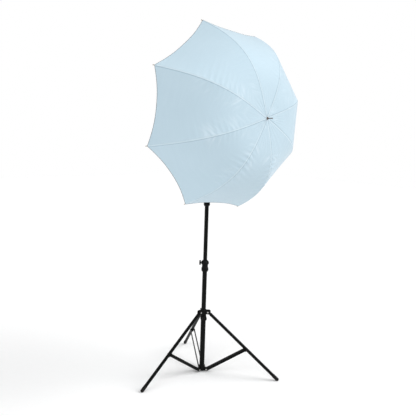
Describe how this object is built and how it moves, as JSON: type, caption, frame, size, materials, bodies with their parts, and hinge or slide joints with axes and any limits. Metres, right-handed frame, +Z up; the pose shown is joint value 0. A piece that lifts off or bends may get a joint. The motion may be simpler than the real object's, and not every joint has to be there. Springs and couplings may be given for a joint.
{
  "type": "umbrella reflector",
  "caption": "White photographic umbrella held open by a swivel bracket on a black folding light stand, with telescoping column, sliding leg yoke and braced legs.",
  "frame": {"origin": "on the axis of the stand column, at floor level", "axes": "+Z up along the column; +X along the umbrella shaft towards its ferrule, with the shaft level"},
  "size_m": [0.846, 0.9616, 1.9008],
  "materials": {
    "satin_black_tube": "satin black enamel on drawn tube and strip",
    "black_plastic": "fine moulded texture",
    "rubber": "matt moulded rubber",
    "rivet_steel": "zinc-plated, darkened",
    "bracket_metal": "satin black powder coat on die-cast metal",
    "knob_plastic": "moulded grip",
    "shaft_steel": "bright plated tube",
    "ferrule_brown": "dark brown moulded plastic",
    "rib_steel": "thin black enamel on spring steel",
    "canopy_cloth": "woven white nylon, plain weave"
  },
  "bodies": {
    "stand_base": {"base_tube": "satin_black_tube", "stop_sleeve": "satin_black_tube", "foot_bracket": "black_plastic", "foot_bracket_pins": "rivet_steel", "lower_collar": "black_plastic"},
    "lower_collar_knob": {"lower_collar_knob": "black_plastic"},
    "leg_yoke": {"leg_yoke": "black_plastic", "leg_yoke_pins": "rivet_steel"},
    "leg_yoke_knob": {"leg_yoke_knob": "black_plastic"},
    "riser_1": {"riser_1": "satin_black_tube", "upper_collar": "black_plastic"},
    "upper_collar_knob": {"upper_collar_knob": "black_plastic"},
    "riser_2": {"riser_2": "satin_black_tube", "spigot": "rivet_steel"},
    "bracket_base": {"bracket_base": "bracket_metal"},
    "bracket_base_knob": {"bracket_base_knob": "knob_plastic"},
    "bracket_head": {"bracket_head": "bracket_metal", "light_stud": "rivet_steel"},
    "tilt_lever": {"tilt_lever": "bracket_metal"},
    "shaft_clamp_knob": {"shaft_clamp_knob": "knob_plastic"},
    "umbrella": {"umbrella_shaft": "shaft_steel", "ferrule": "ferrule_brown", "rib_notch": "black_plastic", "runner_catch": "rivet_steel", "shaft_end_cap": "black_plastic"},
    "runner": {"runner": "black_plastic"},
    "leg_1": {"leg_1": "satin_black_tube", "leg_1_foot": "rubber"},
    "brace_1": {"brace_1": "satin_black_tube"},
    "leg_2": {"leg_2": "satin_black_tube", "leg_2_foot": "rubber"},
    "brace_2": {"brace_2": "satin_black_tube"},
    "leg_3": {"leg_3": "satin_black_tube", "leg_3_foot": "rubber"},
    "brace_3": {"brace_3": "satin_black_tube"},
    "rib_1": {"rib_1": "rib_steel", "canopy_panel_1": "canopy_cloth"},
    "stretcher_1": {"stretcher_1": "rib_steel"},
    "rib_2": {"rib_2": "rib_steel", "canopy_panel_2": "canopy_cloth"},
    "stretcher_2": {"stretcher_2": "rib_steel"},
    "rib_3": {"rib_3": "rib_steel", "canopy_panel_3": "canopy_cloth"},
    "stretcher_3": {"stretcher_3": "rib_steel"},
    "rib_4": {"rib_4": "rib_steel", "canopy_panel_4": "canopy_cloth"},
    "stretcher_4": {"stretcher_4": "rib_steel"},
    "rib_5": {"rib_5": "rib_steel", "canopy_panel_5": "canopy_cloth"},
    "stretcher_5": {"stretcher_5": "rib_steel"},
    "rib_6": {"rib_6": "rib_steel", "canopy_panel_6": "canopy_cloth"},
    "stretcher_6": {"stretcher_6": "rib_steel"},
    "rib_7": {"rib_7": "rib_steel", "canopy_panel_7": "canopy_cloth"},
    "stretcher_7": {"stretcher_7": "rib_steel"},
    "rib_8": {"rib_8": "rib_steel", "canopy_panel_8": "canopy_cloth"},
    "stretcher_8": {"stretcher_8": "rib_steel"}
  },
  "joints": [
    {"name": "yoke_slide", "type": "slide", "parent": "stand_base", "child": "leg_yoke", "axis": [0, 0, 1], "range_m": [0, 0.2128]},
    {"name": "leg_1_fold", "type": "hinge", "parent": "leg_yoke", "child": "leg_1", "pos_m": [0.02348, 0.01525, 0.345], "axis": [-0.5446, 0.8387, 0], "range_deg": [0, 48.5]},
    {"name": "brace_1_fold", "type": "hinge", "parent": "stand_base", "child": "brace_1", "pos_m": [0.02516, 0.01634, 0.013], "axis": [0.5446, -0.8387, 0], "range_deg": [0, 56.8]},
    {"name": "leg_2_fold", "type": "hinge", "parent": "leg_yoke", "child": "leg_2", "pos_m": [-0.02495, 0.01271, 0.345], "axis": [-0.454, -0.891, 0], "range_deg": [0, 48.5]},
    {"name": "brace_2_fold", "type": "hinge", "parent": "stand_base", "child": "brace_2", "pos_m": [-0.02673, 0.01362, 0.013], "axis": [0.454, 0.891, 0], "range_deg": [0, 56.8]},
    {"name": "leg_3_fold", "type": "hinge", "parent": "leg_yoke", "child": "leg_3", "pos_m": [0.00146, -0.02796, 0.345], "axis": [0.9986, 0.0523, 0], "range_deg": [0, 48.5]},
    {"name": "brace_3_fold", "type": "hinge", "parent": "stand_base", "child": "brace_3", "pos_m": [0.00157, -0.02996, 0.013], "axis": [-0.9986, -0.0523, 0], "range_deg": [0, 56.8]},
    {"name": "riser_1_slide", "type": "slide", "parent": "stand_base", "child": "riser_1", "axis": [0, 0, 1], "range_m": [-0.27, 0.1]},
    {"name": "riser_2_slide", "type": "slide", "parent": "riser_1", "child": "riser_2", "axis": [0, 0, 1], "range_m": [-0.2, 0.1]},
    {"name": "lower_collar_knob_turn", "type": "hinge", "parent": "stand_base", "child": "lower_collar_knob", "pos_m": [0, 0, 0.6256], "axis": [-0.6691, -0.7431, 0], "range_deg": [0, 360]},
    {"name": "upper_collar_knob_turn", "type": "hinge", "parent": "riser_1", "child": "upper_collar_knob", "pos_m": [0, 0, 0.9852], "axis": [-0.6691, -0.7431, 0], "range_deg": [0, 360]},
    {"name": "leg_yoke_knob_turn", "type": "hinge", "parent": "leg_yoke", "child": "leg_yoke_knob", "pos_m": [0, 0, 0.3115], "axis": [0.891, -0.454, 0], "range_deg": [0, 360]},
    {"name": "bracket_pan", "type": "hinge", "parent": "riser_2", "child": "bracket_base", "pos_m": [0, 0, 1.36], "axis": [0, 0, 1], "continuous": true},
    {"name": "bracket_base_knob_turn", "type": "hinge", "parent": "bracket_base", "child": "bracket_base_knob", "pos_m": [0, 0, 1.353], "axis": [-1, 0, 0], "range_deg": [0, 360]},
    {"name": "bracket_tilt", "type": "hinge", "parent": "bracket_base", "child": "bracket_head", "pos_m": [0, 0, 1.386], "axis": [0, -1, 0], "range_deg": [-5, 75]},
    {"name": "tilt_lever_turn", "type": "hinge", "parent": "bracket_base", "child": "tilt_lever", "pos_m": [0, 0, 1.386], "axis": [0, -1, 0], "range_deg": [0, 90]},
    {"name": "shaft_clamp_knob_turn", "type": "hinge", "parent": "bracket_head", "child": "shaft_clamp_knob", "pos_m": [0, 0, 1.42], "axis": [0, 1, 0], "range_deg": [0, 360]},
    {"name": "umbrella_slide", "type": "slide", "parent": "bracket_head", "child": "umbrella", "axis": [1, 0, 0], "range_m": [-0.04, 0.2]},
    {"name": "runner_slide", "type": "slide", "parent": "umbrella", "child": "runner", "axis": [-1, 0, 0], "range_m": [0, 0.12189], "deforming": ["canopy_panel_1", "canopy_panel_2", "canopy_panel_3", "canopy_panel_4", "canopy_panel_5", "canopy_panel_6", "canopy_panel_7", "canopy_panel_8"]},
    {"name": "rib_1_fold", "type": "hinge", "parent": "umbrella", "child": "rib_1", "pos_m": [0.409, 0.00763, 1.42241], "axis": [0, -0.3007, 0.9537], "range_deg": [0, 30.5]},
    {"name": "stretcher_1_fold", "type": "hinge", "parent": "runner", "child": "stretcher_1", "pos_m": [0.31, 0.00916, 1.42289], "axis": [0, 0.3007, -0.9537], "range_deg": [0, 14]},
    {"name": "rib_2_fold", "type": "hinge", "parent": "umbrella", "child": "rib_2", "pos_m": [0.409, 0.00369, 1.4271], "axis": [0, -0.887, 0.4617], "range_deg": [0, 30.5]},
    {"name": "stretcher_2_fold", "type": "hinge", "parent": "runner", "child": "stretcher_2", "pos_m": [0.31, 0.00443, 1.42851], "axis": [0, 0.887, -0.4617], "range_deg": [0, 14]},
    {"name": "rib_3_fold", "type": "hinge", "parent": "umbrella", "child": "rib_3", "pos_m": [0.409, -0.00241, 1.42763], "axis": [0, -0.9537, -0.3007], "range_deg": [0, 30.5]},
    {"name": "stretcher_3_fold", "type": "hinge", "parent": "runner", "child": "stretcher_3", "pos_m": [0.31, -0.00289, 1.42916], "axis": [0, 0.9537, 0.3007], "range_deg": [0, 14]},
    {"name": "rib_4_fold", "type": "hinge", "parent": "umbrella", "child": "rib_4", "pos_m": [0.409, -0.0071, 1.42369], "axis": [0, -0.4617, -0.887], "range_deg": [0, 30.5]},
    {"name": "stretcher_4_fold", "type": "hinge", "parent": "runner", "child": "stretcher_4", "pos_m": [0.31, -0.00851, 1.42443], "axis": [0, 0.4617, 0.887], "range_deg": [0, 14]},
    {"name": "rib_5_fold", "type": "hinge", "parent": "umbrella", "child": "rib_5", "pos_m": [0.409, -0.00763, 1.41759], "axis": [0, 0.3007, -0.9537], "range_deg": [0, 30.5]},
    {"name": "stretcher_5_fold", "type": "hinge", "parent": "runner", "child": "stretcher_5", "pos_m": [0.31, -0.00916, 1.41711], "axis": [0, -0.3007, 0.9537], "range_deg": [0, 14]},
    {"name": "rib_6_fold", "type": "hinge", "parent": "umbrella", "child": "rib_6", "pos_m": [0.409, -0.00369, 1.4129], "axis": [0, 0.887, -0.4617], "range_deg": [0, 30.5]},
    {"name": "stretcher_6_fold", "type": "hinge", "parent": "runner", "child": "stretcher_6", "pos_m": [0.31, -0.00443, 1.41149], "axis": [0, -0.887, 0.4617], "range_deg": [0, 14]},
    {"name": "rib_7_fold", "type": "hinge", "parent": "umbrella", "child": "rib_7", "pos_m": [0.409, 0.00241, 1.41237], "axis": [0, 0.9537, 0.3007], "range_deg": [0, 30.5]},
    {"name": "stretcher_7_fold", "type": "hinge", "parent": "runner", "child": "stretcher_7", "pos_m": [0.31, 0.00289, 1.41084], "axis": [0, -0.9537, -0.3007], "range_deg": [0, 14]},
    {"name": "rib_8_fold", "type": "hinge", "parent": "umbrella", "child": "rib_8", "pos_m": [0.409, 0.0071, 1.41631], "axis": [0, 0.4617, 0.887], "range_deg": [0, 30.5]},
    {"name": "stretcher_8_fold", "type": "hinge", "parent": "runner", "child": "stretcher_8", "pos_m": [0.31, 0.00851, 1.41557], "axis": [0, -0.4617, -0.887], "range_deg": [0, 14]}
  ],
  "couplings": [
    {"joint": "leg_1_fold", "follows": "yoke_slide", "rad_per_m": 3.9368},
    {"joint": "brace_1_fold", "follows": "yoke_slide", "rad_per_m": 4.6144},
    {"joint": "leg_2_fold", "follows": "yoke_slide", "rad_per_m": 3.9368},
    {"joint": "brace_2_fold", "follows": "yoke_slide", "rad_per_m": 4.6144},
    {"joint": "leg_3_fold", "follows": "yoke_slide", "rad_per_m": 3.9368},
    {"joint": "brace_3_fold", "follows": "yoke_slide", "rad_per_m": 4.6144},
    {"joint": "rib_1_fold", "follows": "runner_slide", "rad_per_m": 4.2957},
    {"joint": "stretcher_1_fold", "follows": "runner_slide", "rad_per_m": 1.9452},
    {"joint": "rib_2_fold", "follows": "runner_slide", "rad_per_m": 4.2957},
    {"joint": "stretcher_2_fold", "follows": "runner_slide", "rad_per_m": 1.9452},
    {"joint": "rib_3_fold", "follows": "runner_slide", "rad_per_m": 4.2957},
    {"joint": "stretcher_3_fold", "follows": "runner_slide", "rad_per_m": 1.9452},
    {"joint": "rib_4_fold", "follows": "runner_slide", "rad_per_m": 4.2957},
    {"joint": "stretcher_4_fold", "follows": "runner_slide", "rad_per_m": 1.9452},
    {"joint": "rib_5_fold", "follows": "runner_slide", "rad_per_m": 4.2957},
    {"joint": "stretcher_5_fold", "follows": "runner_slide", "rad_per_m": 1.9452},
    {"joint": "rib_6_fold", "follows": "runner_slide", "rad_per_m": 4.2957},
    {"joint": "stretcher_6_fold", "follows": "runner_slide", "rad_per_m": 1.9452},
    {"joint": "rib_7_fold", "follows": "runner_slide", "rad_per_m": 4.2957},
    {"joint": "stretcher_7_fold", "follows": "runner_slide", "rad_per_m": 1.9452},
    {"joint": "rib_8_fold", "follows": "runner_slide", "rad_per_m": 4.2957},
    {"joint": "stretcher_8_fold", "follows": "runner_slide", "rad_per_m": 1.9452}
  ]
}
